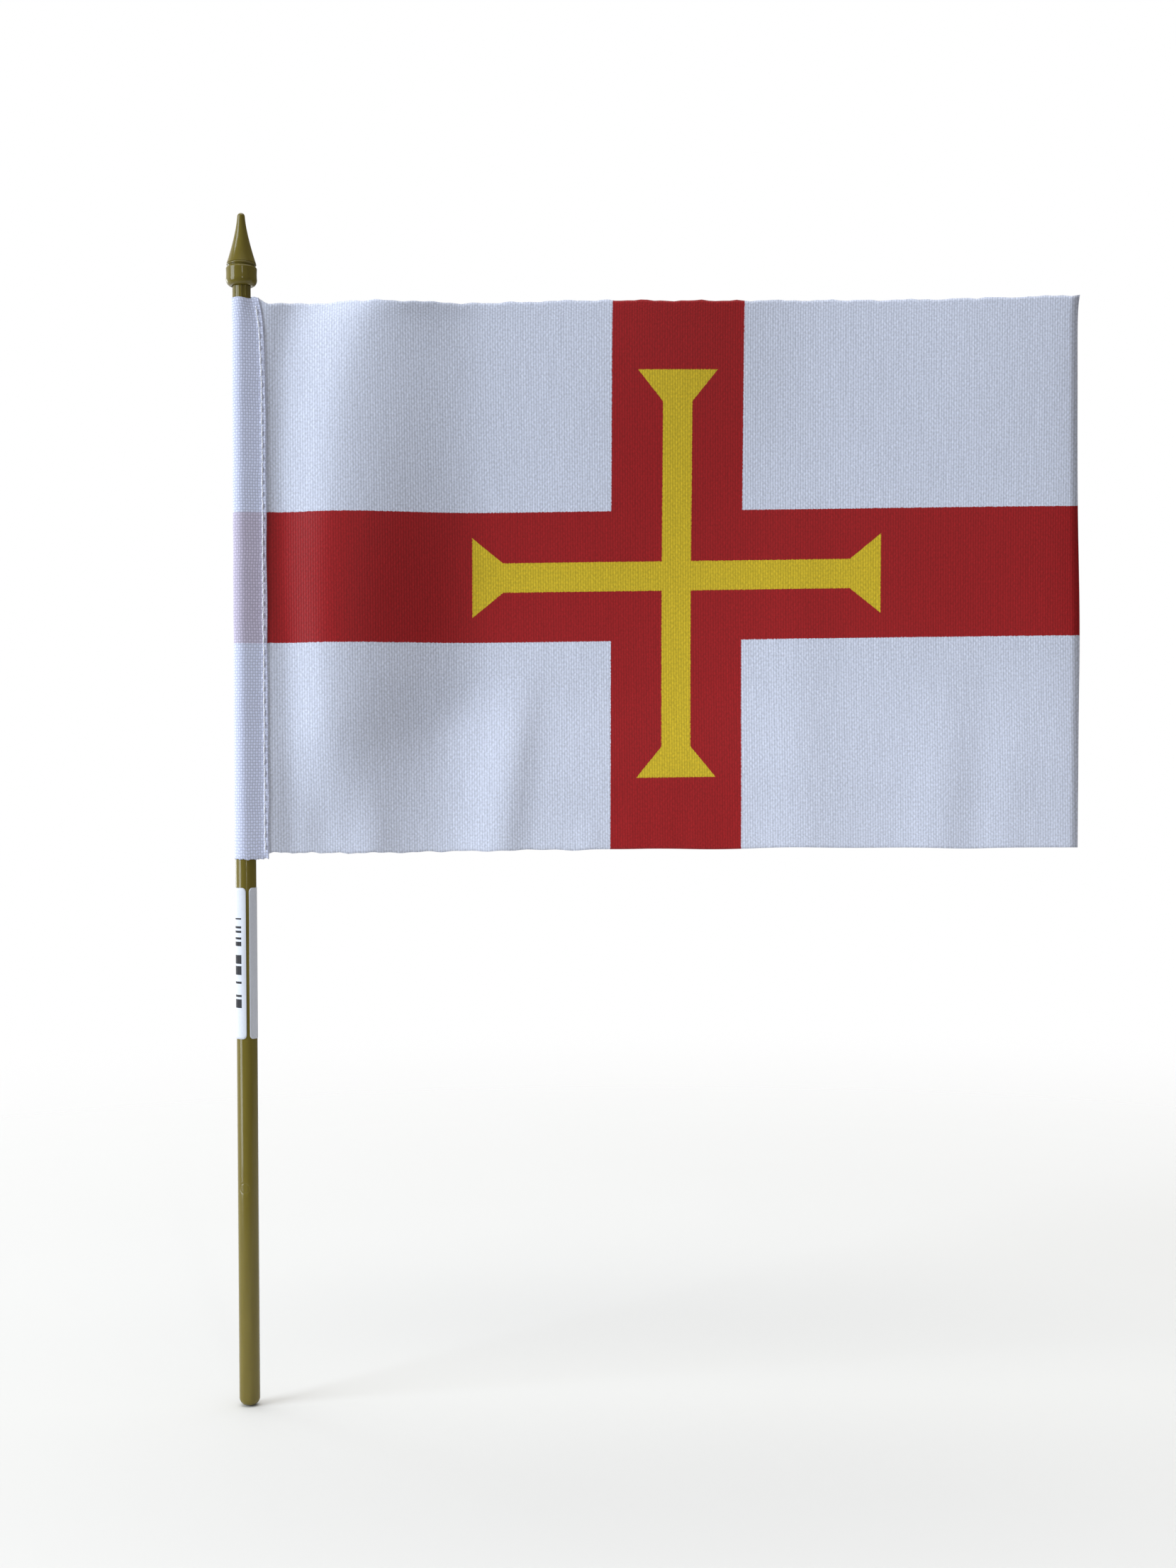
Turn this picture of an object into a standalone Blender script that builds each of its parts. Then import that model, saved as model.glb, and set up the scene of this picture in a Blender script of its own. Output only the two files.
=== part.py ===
"""A hand-waving stick flag: a moulded stick, a push-on spear finial, a sewn cloth flag and a paper label.

The stick stands on its end at the origin and runs up +Z. The flag flies towards +X and its front faces -Y.
All lengths are in metres; MM turns the millimetres of the drawing into metres.
"""

import math

import bmesh
import bpy

MM = 0.001

# Shared clearance between touching pieces, and how finely round shapes are cut.
SEAT_GAP = 0.3 * MM
ROUND_SIDES = 48
ARC_STEPS = 6

# Stick.
OVERALL_LENGTH = 324.5 * MM
STICK_RADIUS = 2.8 * MM
END_ROUNDING = 2.0 * MM
NECK_RADIUS = 2.34 * MM
NECK_LENGTH = 9.0 * MM
RIB_HEIGHT = 0.12 * MM
RIB_COUNT = 8
RIB_COLUMNS = 2
SPIGOT_CHAMFER = 0.3 * MM

# Spear finial, measured down from its tip.
TIP_RADIUS = 0.85 * MM
CONE_LENGTH = 14.4 * MM
CONE_BASE_RADIUS = 3.95 * MM
CONE_FLARE = 1.2
CONE_STEPS = 7
GROOVE_RADIUS = 3.6 * MM
GROOVE_HEIGHT = 0.45 * MM
COLLAR_RADIUS = 4.2 * MM
COLLAR_HEIGHT = 4.05 * MM
COLLAR_ROUNDING = 0.4 * MM
COLLAR_CHAMFER_HEIGHT = 1.6 * MM
SOCKET_LIP = 0.35 * MM
SPIGOT_LENGTH = 7.0 * MM

# Cloth. The solid is thicker than the real weave, so that it can be tested.
FLAG_HEIGHT = 152.4 * MM
FLY_REACH = 229.0 * MM
CLOTH_THICKNESS = 0.4 * MM
SLEEVE_TO_COLLAR = 2.6 * MM
SLEEVE_STEPS = 28
LAYERS_MEET = 1.4 * MM
SEAM_INSET = 0.4 * MM
HEM_ALLOWANCE = 1.3 * MM

# Hem seam.
THREAD_RADIUS = 0.18 * MM
STITCH_PITCH = 3.3 * MM
STITCH_CROWN = 0.12 * MM
POINTS_PER_STITCH = 4
THREAD_MARGIN = 1.0 * MM

# Paper label, stuck round the stick with its two long edges nearly meeting at the front.
LABEL_LENGTH = 41.0 * MM
LABEL_THICKNESS = 0.2 * MM
LABEL_EDGE_GAP = 0.9 * MM
LABEL_BELOW_SLEEVE = 8.2 * MM
LABEL_STEPS = 36

# Sizes that follow from the ones above.
FINIAL_LENGTH = CONE_LENGTH + GROOVE_HEIGHT + COLLAR_HEIGHT + COLLAR_CHAMFER_HEIGHT
COLLAR_BOTTOM = OVERALL_LENGTH - FINIAL_LENGTH
RIBBED_RADIUS = NECK_RADIUS + RIB_HEIGHT
SOCKET_RADIUS = RIBBED_RADIUS + SEAT_GAP
SLEEVE_TOP = COLLAR_BOTTOM - SLEEVE_TO_COLLAR
SLEEVE_BOTTOM = SLEEVE_TOP - FLAG_HEIGHT
SLEEVE_INNER = max(STICK_RADIUS, RIBBED_RADIUS) + SEAT_GAP
SLEEVE_OUTER = SLEEVE_INNER + CLOTH_THICKNESS
MEET_X = SLEEVE_OUTER + LAYERS_MEET
SEAM_X = MEET_X + SEAM_INSET
HEM_X = SEAM_X + HEM_ALLOWANCE
FLAP_AXIS_X = HEM_X + SEAT_GAP + CLOTH_THICKNESS / 2
LABEL_TOP = SLEEVE_BOTTOM - LABEL_BELOW_SLEEVE
LABEL_INNER = STICK_RADIUS + SEAT_GAP


def clear_scene():
    for old in list(bpy.data.objects):
        bpy.data.objects.remove(old, do_unlink=True)


def linear(channel):
    """An sRGB channel, 0 to 1, as the linear value that a shader takes."""
    return channel / 12.92 if channel <= 0.04045 else ((channel + 0.055) / 1.055) ** 2.4


def finish_material(name, srgb_hex, roughness, metallic=0.0):
    material = bpy.data.materials.new(name)
    material.use_nodes = True
    shader = material.node_tree.nodes["Principled BSDF"]
    channels = [int(srgb_hex[i : i + 2], 16) / 255 for i in (1, 3, 5)]
    shader.inputs["Base Color"].default_value = (*map(linear, channels), 1.0)
    shader.inputs["Roughness"].default_value = roughness
    shader.inputs["Metallic"].default_value = metallic
    return material


def add_object(name, data, material, parent=None, location=(0.0, 0.0, 0.0)):
    made = bpy.data.objects.new(name, data)
    bpy.context.scene.collection.objects.link(made)
    made.data.materials.append(material)
    made.parent = parent
    made.location = location
    return made


def add_axis(name, location, parent=None):
    """An empty on a joint's axis, which carries the pieces that turn about it."""
    empty = bpy.data.objects.new(name, None)
    bpy.context.scene.collection.objects.link(empty)
    empty.parent = parent
    empty.location = location
    return empty


def arc(centre_x, centre_y, radius, start, end, steps):
    """Points of an arc, both ends included, from angle start to angle end in radians."""
    angles = [start + (end - start) * i / steps for i in range(steps + 1)]
    return [(centre_x + radius * math.cos(a), centre_y + radius * math.sin(a)) for a in angles]


def turned_mesh(name, profile):
    """A closed solid of revolution about Z. The profile is (radius, height) from axis to axis."""
    shape = bmesh.new()
    corners = [shape.verts.new((radius, 0.0, height)) for radius, height in profile]
    edges = [shape.edges.new(pair) for pair in zip(corners, corners[1:])]
    bmesh.ops.spin(
        shape,
        geom=corners + edges,
        axis=(0, 0, 1),
        cent=(0, 0, 0),
        angle=2 * math.pi,
        steps=ROUND_SIDES,
        use_merge=True,
    )
    bmesh.ops.remove_doubles(shape, verts=shape.verts, dist=1e-7)
    bmesh.ops.recalc_face_normals(shape, faces=shape.faces)
    return mesh_from(name, shape)


def prism_mesh(name, outlines, height):
    """A closed solid with these outlines, the first outside and any other a hole, pushed up +Z."""
    shape = bmesh.new()
    edges = []
    for outline in outlines:
        corners = [shape.verts.new((x, y, 0.0)) for x, y in outline]
        edges += [shape.edges.new(pair) for pair in zip(corners, corners[1:] + corners[:1])]
    filled = bmesh.ops.triangle_fill(shape, edges=edges, use_beauty=True)
    base = [item for item in filled["geom"] if isinstance(item, bmesh.types.BMFace)]
    raised = bmesh.ops.extrude_face_region(shape, geom=base)
    top = [item for item in raised["geom"] if isinstance(item, bmesh.types.BMVert)]
    bmesh.ops.translate(shape, verts=top, vec=(0, 0, height))
    bmesh.ops.recalc_face_normals(shape, faces=shape.faces)
    return mesh_from(name, shape)


def mesh_from(name, shape):
    mesh = bpy.data.meshes.new(name)
    shape.to_mesh(mesh)
    shape.free()
    mesh.shade_smooth()
    mesh.set_sharp_from_angle(angle=math.radians(35))
    return mesh


def raise_ribs(mesh, low, high):
    """Pushes out every rib's columns of a turned mesh between two heights."""
    pitch = ROUND_SIDES // RIB_COUNT
    for vertex in mesh.vertices:
        x, y, z = vertex.co
        column = round(math.atan2(y, x) / (2 * math.pi / ROUND_SIDES)) % ROUND_SIDES
        if low <= z <= high and column % pitch < RIB_COLUMNS:
            vertex.co.x += RIB_HEIGHT * math.cos(math.atan2(y, x))
            vertex.co.y += RIB_HEIGHT * math.sin(math.atan2(y, x))


def build_stick(plastic):
    """The stick: a flat end with a rounded rim, a straight grip, a long taper and a ribbed neck."""
    spigot_top = COLLAR_BOTTOM + SPIGOT_LENGTH
    neck_bottom = COLLAR_BOTTOM - NECK_LENGTH
    rim = arc(STICK_RADIUS - END_ROUNDING, END_ROUNDING, END_ROUNDING, -math.pi / 2, 0, ARC_STEPS)
    profile = [(0.0, 0.0)]
    profile += rim
    profile += [
        (STICK_RADIUS, SLEEVE_BOTTOM),
        (RIBBED_RADIUS, neck_bottom - RIB_HEIGHT),
        (NECK_RADIUS, neck_bottom),
        (NECK_RADIUS, spigot_top - SPIGOT_CHAMFER),
        (NECK_RADIUS - SPIGOT_CHAMFER, spigot_top),
        (0.0, spigot_top),
    ]
    mesh = turned_mesh("stick", profile)
    raise_ribs(mesh, neck_bottom - RIB_HEIGHT / 2, spigot_top - SPIGOT_CHAMFER / 2)
    return add_object("stick", mesh, plastic)


def cone_profile():
    """The cone from its rounded tip to its lip: the radius grows with depth to the power CONE_FLARE."""
    tip_depth = TIP_RADIUS * 0.9
    points = arc(0.0, -TIP_RADIUS, TIP_RADIUS, math.pi / 2, math.radians(12), ARC_STEPS)
    for step in range(1, CONE_STEPS + 1):
        share = step / CONE_STEPS
        radius = TIP_RADIUS + (CONE_BASE_RADIUS - TIP_RADIUS) * share**CONE_FLARE
        points.append((radius, -tip_depth - (CONE_LENGTH - tip_depth) * share))
    points[0] = (0.0, 0.0)
    return points


def build_finial(plastic):
    """The spear finial: a cone, a groove and a collar, hollowed from below to sit on the stick's neck."""
    groove_top = -CONE_LENGTH
    collar_top = groove_top - GROOVE_HEIGHT
    chamfer_top = collar_top - COLLAR_HEIGHT
    socket_roof = -FINIAL_LENGTH + SPIGOT_LENGTH + SEAT_GAP
    inner_rim = COLLAR_RADIUS - COLLAR_ROUNDING
    profile = cone_profile()
    profile += [(GROOVE_RADIUS, groove_top), (GROOVE_RADIUS, collar_top)]
    profile += arc(inner_rim, collar_top - COLLAR_ROUNDING, COLLAR_ROUNDING, math.pi / 2, 0, 3)
    profile += [
        (COLLAR_RADIUS, chamfer_top),
        (SOCKET_RADIUS + SOCKET_LIP, -FINIAL_LENGTH),
        (SOCKET_RADIUS, -FINIAL_LENGTH),
        (SOCKET_RADIUS, socket_roof),
        (0.0, socket_roof),
    ]
    mesh = turned_mesh("spear_finial", profile)
    return add_object("spear_finial", mesh, plastic, location=(0.0, 0.0, OVERALL_LENGTH))


def sleeve_outlines():
    """The sleeve's teardrop section: round the stick, then two straight sides to a flat, sewn flange."""
    reach = math.hypot(MEET_X, CLOTH_THICKNESS)
    tangent = math.acos(SLEEVE_OUTER / reach) + math.atan2(CLOTH_THICKNESS, MEET_X)
    flange = CLOTH_THICKNESS
    outside = [(HEM_X, flange), (MEET_X, flange)]
    outside += arc(0.0, 0.0, SLEEVE_OUTER, tangent, 2 * math.pi - tangent, SLEEVE_STEPS)
    outside += [(MEET_X, -flange), (HEM_X, -flange)]
    inside = arc(0.0, 0.0, SLEEVE_INNER, tangent, 2 * math.pi - tangent, SLEEVE_STEPS)
    inside.append((SLEEVE_INNER / math.cos(tangent), 0.0))
    return [outside, inside]


def build_sleeve(cloth, axis):
    mesh = prism_mesh("flag_sleeve", sleeve_outlines(), FLAG_HEIGHT)
    return add_object("flag_sleeve", mesh, cloth, parent=axis)


def build_panel(cloth, axis):
    """The free cloth: a thin plate whose near edge is rounded about the flap's axis."""
    half = CLOTH_THICKNESS / 2
    width = FLY_REACH - FLAP_AXIS_X
    outline = arc(0.0, 0.0, half, math.pi / 2, 3 * math.pi / 2, ARC_STEPS)
    outline += [(width, -half), (width, half)]
    return add_object("flag_panel", prism_mesh("flag_panel", [outline], FLAG_HEIGHT), cloth, parent=axis)


def build_thread(name, side, thread, axis):
    """One thread of the lockstitch seam, crowned between the needle holes. side is -1 front, 1 back."""
    usable = FLAG_HEIGHT - 2 * THREAD_MARGIN
    stitches = int(usable / STITCH_PITCH)
    first = (FLAG_HEIGHT - stitches * STITCH_PITCH) / 2
    low = CLOTH_THICKNESS + SEAT_GAP + THREAD_RADIUS
    count = stitches * POINTS_PER_STITCH + 1
    curve = bpy.data.curves.new(name, "CURVE")
    curve.dimensions = "3D"
    curve.bevel_depth = THREAD_RADIUS
    curve.bevel_resolution = 1
    curve.use_fill_caps = True
    line = curve.splines.new("POLY")
    line.points.add(count - 1)
    for index, point in enumerate(line.points):
        share = (index % POINTS_PER_STITCH) / POINTS_PER_STITCH
        lift = STITCH_CROWN * math.sin(math.pi * share)
        height = first + STITCH_PITCH * index / POINTS_PER_STITCH
        point.co = (SEAM_X, side * (low + lift), height, 1.0)
    return add_object(name, curve, thread, parent=axis)


def build_label(paper):
    """The label: a thin band round the stick, open at the front by LABEL_EDGE_GAP."""
    half_gap = LABEL_EDGE_GAP / LABEL_INNER / 2
    start = -math.pi / 2 + half_gap
    end = 3 * math.pi / 2 - half_gap
    outline = arc(0.0, 0.0, LABEL_INNER + LABEL_THICKNESS, start, end, LABEL_STEPS)
    outline += arc(0.0, 0.0, LABEL_INNER, end, start, LABEL_STEPS)
    mesh = prism_mesh("paper_label", [outline], LABEL_LENGTH)
    bottom = LABEL_TOP - LABEL_LENGTH
    return add_object("paper_label", mesh, paper, location=(0.0, 0.0, bottom))


def main():
    clear_scene()
    plastic = finish_material("moulded_olive_plastic", "#6E6832", 0.28)
    cloth = finish_material("printed_polyester_cloth", "#C8CEE0", 0.7)
    thread = finish_material("white_polyester_thread", "#F0F2F8", 0.6)
    paper = finish_material("white_coated_paper", "#EDEFF6", 0.5)
    build_stick(plastic)
    build_finial(plastic)
    build_label(paper)
    sleeve_axis = add_axis("sleeve_axis", (0.0, 0.0, SLEEVE_BOTTOM))
    flap_axis = add_axis("flap_axis", (FLAP_AXIS_X, 0.0, 0.0), sleeve_axis)
    build_sleeve(cloth, sleeve_axis)
    build_panel(cloth, flap_axis)
    build_thread("needle_thread", -1, thread, sleeve_axis)
    build_thread("bobbin_thread", 1, thread, sleeve_axis)


main()
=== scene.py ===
import math

import bpy
import numpy as np
from bpy.props import FloatProperty, FloatVectorProperty, IntProperty, PointerProperty
from bpy.types import Operator, Panel, PropertyGroup
from mathutils import Matrix, Vector


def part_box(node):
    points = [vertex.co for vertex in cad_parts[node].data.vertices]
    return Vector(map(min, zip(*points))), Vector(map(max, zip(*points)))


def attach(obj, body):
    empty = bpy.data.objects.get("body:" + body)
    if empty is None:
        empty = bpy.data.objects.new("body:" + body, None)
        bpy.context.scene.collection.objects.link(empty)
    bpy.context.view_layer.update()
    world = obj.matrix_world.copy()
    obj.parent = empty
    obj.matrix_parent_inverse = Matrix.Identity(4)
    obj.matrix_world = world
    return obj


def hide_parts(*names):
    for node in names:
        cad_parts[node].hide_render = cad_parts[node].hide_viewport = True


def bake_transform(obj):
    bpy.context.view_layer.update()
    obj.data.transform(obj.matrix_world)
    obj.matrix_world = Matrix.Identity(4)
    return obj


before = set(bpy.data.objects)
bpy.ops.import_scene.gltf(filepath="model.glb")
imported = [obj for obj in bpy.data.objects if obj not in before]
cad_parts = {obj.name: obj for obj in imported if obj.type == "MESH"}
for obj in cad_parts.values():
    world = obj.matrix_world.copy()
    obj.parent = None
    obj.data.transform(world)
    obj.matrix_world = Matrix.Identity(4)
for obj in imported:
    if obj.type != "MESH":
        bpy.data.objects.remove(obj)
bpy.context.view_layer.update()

bl_info = {
    "name": "Stick Flag",
    "version": (1, 0, 0),
    "blender": (4, 5, 0),
    "location": "View3D > Sidebar > Stick Flag",
    "description": "Builds the cloth, stick, finial, label and seam of a hand-waving flag",
    "category": "Mesh",
}

MM = 0.001

# Where the frame's pieces stand. +X runs to the fly edge, -Y is the printed front, +Z runs up the stick.
STICK_LOW, STICK_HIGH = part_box("stick")
FINIAL_LOW, FINIAL_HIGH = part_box("spear_finial")
SLEEVE_LOW, SLEEVE_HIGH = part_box("flag_sleeve")
PANEL_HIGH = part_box("flag_panel")[1]
LABEL_LOW, LABEL_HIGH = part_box("paper_label")
BOTTOM, TOP = SLEEVE_LOW.z, SLEEVE_HIGH.z
SEAM_X = sum(corner.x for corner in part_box("needle_thread")) / 2

# The stick's front, as an angle about +Z.
FRONT = -math.pi / 2

# The stick's neck inside the finial, between its ribs.
NECK_RADIUS = 2.34 * MM

# The bore that the wrapped cloth leaves, and how much narrower it is at the top of the stick.
WRAP_RADIUS = 2.8 * MM
WRAP_TAPER = 0.34 * MM

# How far the hem's cut edge lies from where the two layers meet, round the stick and back, in the flat cut,
# and the length of cloth that the UV map's unit square covers.
CUT_MARGIN = 23.0 * MM
CLOTH_MAP_SPAN = 0.26

# The middle of the print, in mm from the stick's axis and its lower end, and the slope of its two axes.
PRINT_CENTRE = (117.9, 225.6)
PRINT_SLOPE = {"x": 0.0105, "z": 0.0050}

# The free cloth's standing folds: where the crest would cross the top edge and its lean per mm down, its
# height, the widths of its rise towards the hem and its fall towards the fly, and the depths where it
# starts and is whole. All in mm but the lean.
FOLDS = (
    (91.0, -0.14, 1.65, 8.5, 4.0, 92.0, 128.0),
    (93.7, 0.0, 0.6, 1.8, 1.8, 141.0, 149.0),
    (34.5, 0.0, 0.85, 4.5, 4.5, 128.0, 148.0),
    (152.0, 0.0, 0.48, 8.0, 7.0, 5.0, 130.0),
    (206.0, -0.1, 0.9, 8.0, 5.0, 90.0, 140.0),
    (219.0, -0.08, 0.75, 5.0, 9.0, 90.0, 140.0),
    (106.0, 0.0, 0.36, 2.4, 2.4, 132.0, 146.0),
    (114.7, 0.0, 0.44, 2.6, 2.6, 128.0, 146.0),
    (123.6, 0.0, 0.36, 2.4, 2.4, 132.0, 146.0),
)

# The label's bars: the height that one step of the pattern takes, and the block's bottom, top, left and
# right. All in mm on the label. The real steps are about 0.26 mm, too fine to show.
BAR_STEP = 0.6
BAR_BLOCK = (8.4, 32.85, 1.25, 9.85)
BAR_SHARPNESS = 0.05

# How far the label's middle is turned from the stick's back.
LABEL_TURN = math.radians(16.3)

# Each light's name, place and size in metres, watts and tint. All of them aim at LIT_POINT.
LIT_POINT = (0.1, 0.0, 0.17)
LIGHTS = (
    ("window", (-3.2, -1.75, 1.1), (2.0, 3.84), 166.0, (0.85, 0.92, 1.0)),
    ("far_window", (-1.5, 1.3, 0.3), (0.5, 0.7), 6.5, (0.85, 0.93, 1.0)),
    ("doorway", (0.55, -2.0, 0.5), (0.09, 0.9), 3.0, (1.0, 0.98, 0.95)),
)


def srgb(code):
    """An sRGB hex colour as the linear values that a shader takes."""
    channels = [int(code[i : i + 2], 16) / 255 for i in (1, 3, 5)]
    return [c / 12.92 if c <= 0.04045 else ((c + 0.055) / 1.055) ** 2.4 for c in channels]


def length(name, description, millimetres):
    """A size in metres, given in millimetres."""
    return FloatProperty(
        name=name, description=description, default=millimetres * MM, unit="LENGTH", precision=5
    )


def colour(name, description, code):
    """A colour, given as sRGB hex."""
    return FloatVectorProperty(
        name=name, description=description, default=srgb(code), size=3, subtype="COLOR", min=0.0, max=1.0
    )


class StickFlagMould(PropertyGroup):
    """The moulded stick and its finial."""

    end_rounding: length("End rounding", "Radius of the rounding at the stick's lower end", 2.1)
    neck_length: length("Neck length", "How far the ribbed neck runs down from the collar", 9.0)
    rib_height: length("Rib height", "How far the neck's ribs stand out", 0.12)
    rib_count: IntProperty(name="Ribs", description="Ribs round the neck", default=8, min=3)
    parting_height: length("Parting line", "How far the mould's parting line stands out", 0.035)
    ejector_height: length("Ejector mark height", "Centre of the ejector pin's mark", 59.3)
    ejector_radius: length("Ejector mark radius", "Radius of the ejector pin's mark", 1.35)
    mould_turn: FloatProperty(
        name="Mould turn",
        description="Turn of the mould's marks about the stick, from straight to the front",
        default=math.radians(-13.6),
        subtype="ANGLE",
    )
    plastic: colour("Plastic", "Colour of the moulded plastic", "#766A2C")
    plastic_dark: colour("Plastic, dense", "Colour where the plastic is densest", "#685C22")


class StickFlagCloth(PropertyGroup):
    """The printed cloth."""

    thickness: length("Thickness", "Thickness of the cloth", 0.18)
    seam_forward: length("Seam forward", "How far the seam lies in front of the stick's axis", 1.5)
    set_back: length("Set back", "How far back the open cloth lies at its furthest", 10.5)
    edge_wander: length("Edge wander", "How far the heat-cut edges wander", 0.16)
    band_upright: length("Upright band", "Width of the upright band", 36.1)
    band_level: length("Level band", "Width of the level band", 35.6)
    cross_width: length("Cross width", "Overall width of the inner cross", 112.7)
    cross_height: length("Cross height", "Overall height of the inner cross", 111.3)
    cross_bar: length("Cross bar", "Width of the inner cross's bars", 8.02)
    cross_end: length("Cross end", "Width of the inner cross's flared ends", 21.8)
    cross_flare: length("Cross flare", "Depth of the inner cross's flared ends", 8.5)
    warp_pitch: length("Warp pitch", "Spacing of the upright yarns, 0.46 mm drawn half as wide again", 0.69)
    weft_pitch: length("Weft pitch", "Spacing of the level yarns, 0.52 mm drawn half as wide again", 0.78)
    field: colour("Field", "Colour of the unprinted field", "#DDE3F5")
    reverse: colour("Reverse", "Colour of the cloth's unprinted side", "#DFE5FF")
    band: colour("Band", "Colour of the outer cross", "#A5181D")
    cross: colour("Cross", "Colour of the inner cross", "#DABD2A")


class StickFlagSeam(PropertyGroup):
    """The hem's lockstitch seam."""

    pitch: length("Stitch pitch", "Distance from one needle hole to the next", 3.3)
    thread_radius: length("Thread radius", "Radius of the sewing thread", 0.21)
    thread: colour("Thread", "Colour of the sewing thread", "#F4F6FF")


class StickFlagLabel(PropertyGroup):
    """The paper label round the stick."""

    thickness: length("Thickness", "Thickness of the label", 0.1)
    corner: length("Corner", "Radius of the label's corners", 1.0)
    edge_gap: length("Edge gap", "Gap between the label's long edges", 0.85)
    paper: colour("Paper", "Colour of the paper", "#DDE1EB")
    ink: colour("Ink", "Colour of the bars", "#15161D")


class StickFlagStage(PropertyGroup):
    """The floor, the lights and the camera."""

    camera_distance: length("Camera distance", "From the stick's axis to the camera", 545.0)
    view_height: length("View height", "What the camera takes in from bottom to top", 427.1)
    aim_x: length("Aim across", "Where the camera looks, from the stick's axis", 93.35)
    aim_z: length("Aim height", "Where the camera looks, from the stick's end", 168.27)
    roll: FloatProperty(
        name="Roll",
        description="Turn of the camera about its view",
        default=math.radians(-0.433),
        subtype="ANGLE",
    )
    floor: colour("Floor", "Colour of the floor", "#DCDCDA")


# ---------------------------------------------------------------- helpers


def smooth_step(value):
    """0 below 0, 1 above 1, and 3t^2 - 2t^3 between."""
    t = np.clip(value, 0.0, 1.0)
    return t * t * (3 - 2 * t)


def surface(name, points, wrap=False, caps=()):
    """A mesh over points[row, column], quads between neighbours. wrap joins the last column to the first,
    and caps names the rows, 0 or -1, that a fan about their mean closes."""
    rows, columns = points.shape[:2]
    index = np.arange(rows * columns).reshape(rows, columns)
    if wrap:
        index = np.concatenate([index, index[:, :1]], axis=1)
    quads = np.stack([index[:-1, :-1], index[:-1, 1:], index[1:, 1:], index[1:, :-1]], axis=-1)
    faces = quads.reshape(-1, 4).tolist()
    corners = points.reshape(-1, 3)
    for row in caps:
        ring = index[row]
        centre = np.full(len(ring) - 1, len(corners))
        corners = np.vstack([corners, corners[ring[:-1]].mean(axis=0)])
        fan = np.stack([ring[:-1], ring[1:], centre], axis=-1)
        faces += (fan if row else fan[:, ::-1]).tolist()
    mesh = bpy.data.meshes.new(name)
    mesh.from_pydata(corners.tolist(), [], faces)
    mesh.shade_smooth()
    return mesh


def write_uv(mesh, across, along, name="cut"):
    """Gives each corner the two values of its point, as the UV map."""
    where = np.empty(len(mesh.loops), np.int32)
    mesh.loops.foreach_get("vertex_index", where)
    values = np.stack([across.ravel(), along.ravel()], axis=-1)
    missing = len(mesh.vertices) - len(values)
    if missing:
        values = np.vstack([values, np.zeros((missing, 2))])
    layer = mesh.uv_layers.new(name=name)
    layer.data.foreach_set("uv", values[where].astype(np.float32).ravel())


def add_piece(name, mesh, materials):
    """Puts a finished mesh in the scene at the origin, with its materials."""
    piece = bpy.data.objects.new(name, mesh)
    bpy.context.scene.collection.objects.link(piece)
    for material in materials:
        mesh.materials.append(material)
    return piece


def new_material(name):
    """(material, node tree, Principled shader) of a new material."""
    material = bpy.data.materials.new(name)
    material.use_nodes = True
    tree = material.node_tree
    return material, tree, tree.nodes["Principled BSDF"]


def join(tree, sockets, node):
    """Gives each named input of a node a value or another node's output."""
    for name, value in sockets.items():
        if isinstance(value, bpy.types.NodeSocket):
            tree.links.new(value, node.inputs[name])
        else:
            node.inputs[name].default_value = value


def add(tree, kind, sockets=None, **settings):
    """Adds a shader node of a kind. settings are its attributes, and sockets goes to join."""
    node = tree.nodes.new("ShaderNode" + kind)
    for name, value in settings.items():
        setattr(node, name, value)
    join(tree, sockets or {}, node)
    return node


def rgba(values):
    """A colour with full alpha."""
    return (*values, 1.0)


def turn_from(start, angle):
    """The turn from start to angle, from minus half a turn to half a turn."""
    return np.angle(np.exp(1j * (angle - start)))


# ---------------------------------------------------------------- moulded plastic


def moulded_polypropylene(name, mould):
    """Injection-moulded polypropylene, unpainted: glossy, slightly waxy, with swirls of denser colour
    and fine drag lines along the draw, which break up the highlight."""
    material, tree, shader = new_material(name)
    where = add(tree, "TexCoord").outputs["Object"]
    stretched = add(
        tree, "Mapping", {"Vector": where, "Scale": (1 / (1.5 * MM), 1 / (1.5 * MM), 1 / (14 * MM))}
    ).outputs["Vector"]
    swirl = add(tree, "TexNoise", {"Vector": stretched, "Scale": 1.0, "Detail": 3.0}).outputs["Fac"]
    tint = add(
        tree,
        "Mix",
        {"Factor": swirl, 6: rgba(mould.plastic_dark), 7: rgba(mould.plastic)},
        data_type="RGBA",
    ).outputs[2]
    drag = add(
        tree, "Mapping", {"Vector": where, "Scale": (1 / (0.25 * MM), 1 / (0.25 * MM), 1 / (9 * MM))}
    ).outputs["Vector"]
    lines = add(tree, "TexNoise", {"Vector": drag, "Scale": 1.0, "Detail": 2.0}).outputs["Fac"]
    waves = add(tree, "TexNoise", {"Vector": where, "Scale": 1 / (3.5 * MM), "Detail": 1.0}).outputs["Fac"]
    dull = add(
        tree, "MapRange", {"Value": lines, "From Min": 0.3, "From Max": 0.7, "To Min": 0.08, "To Max": 0.15}
    ).outputs["Result"]
    fine = add(tree, "Bump", {"Height": lines, "Strength": 0.25, "Distance": 0.02 * MM}).outputs["Normal"]
    relief = add(
        tree, "Bump", {"Height": waves, "Normal": fine, "Strength": 0.2, "Distance": 0.1 * MM}
    ).outputs["Normal"]
    look = {"Base Color": tint, "Roughness": dull, "Normal": relief, "IOR": 1.49, "Specular IOR Level": 0.36}
    join(tree, look, shader)
    return material


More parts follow.
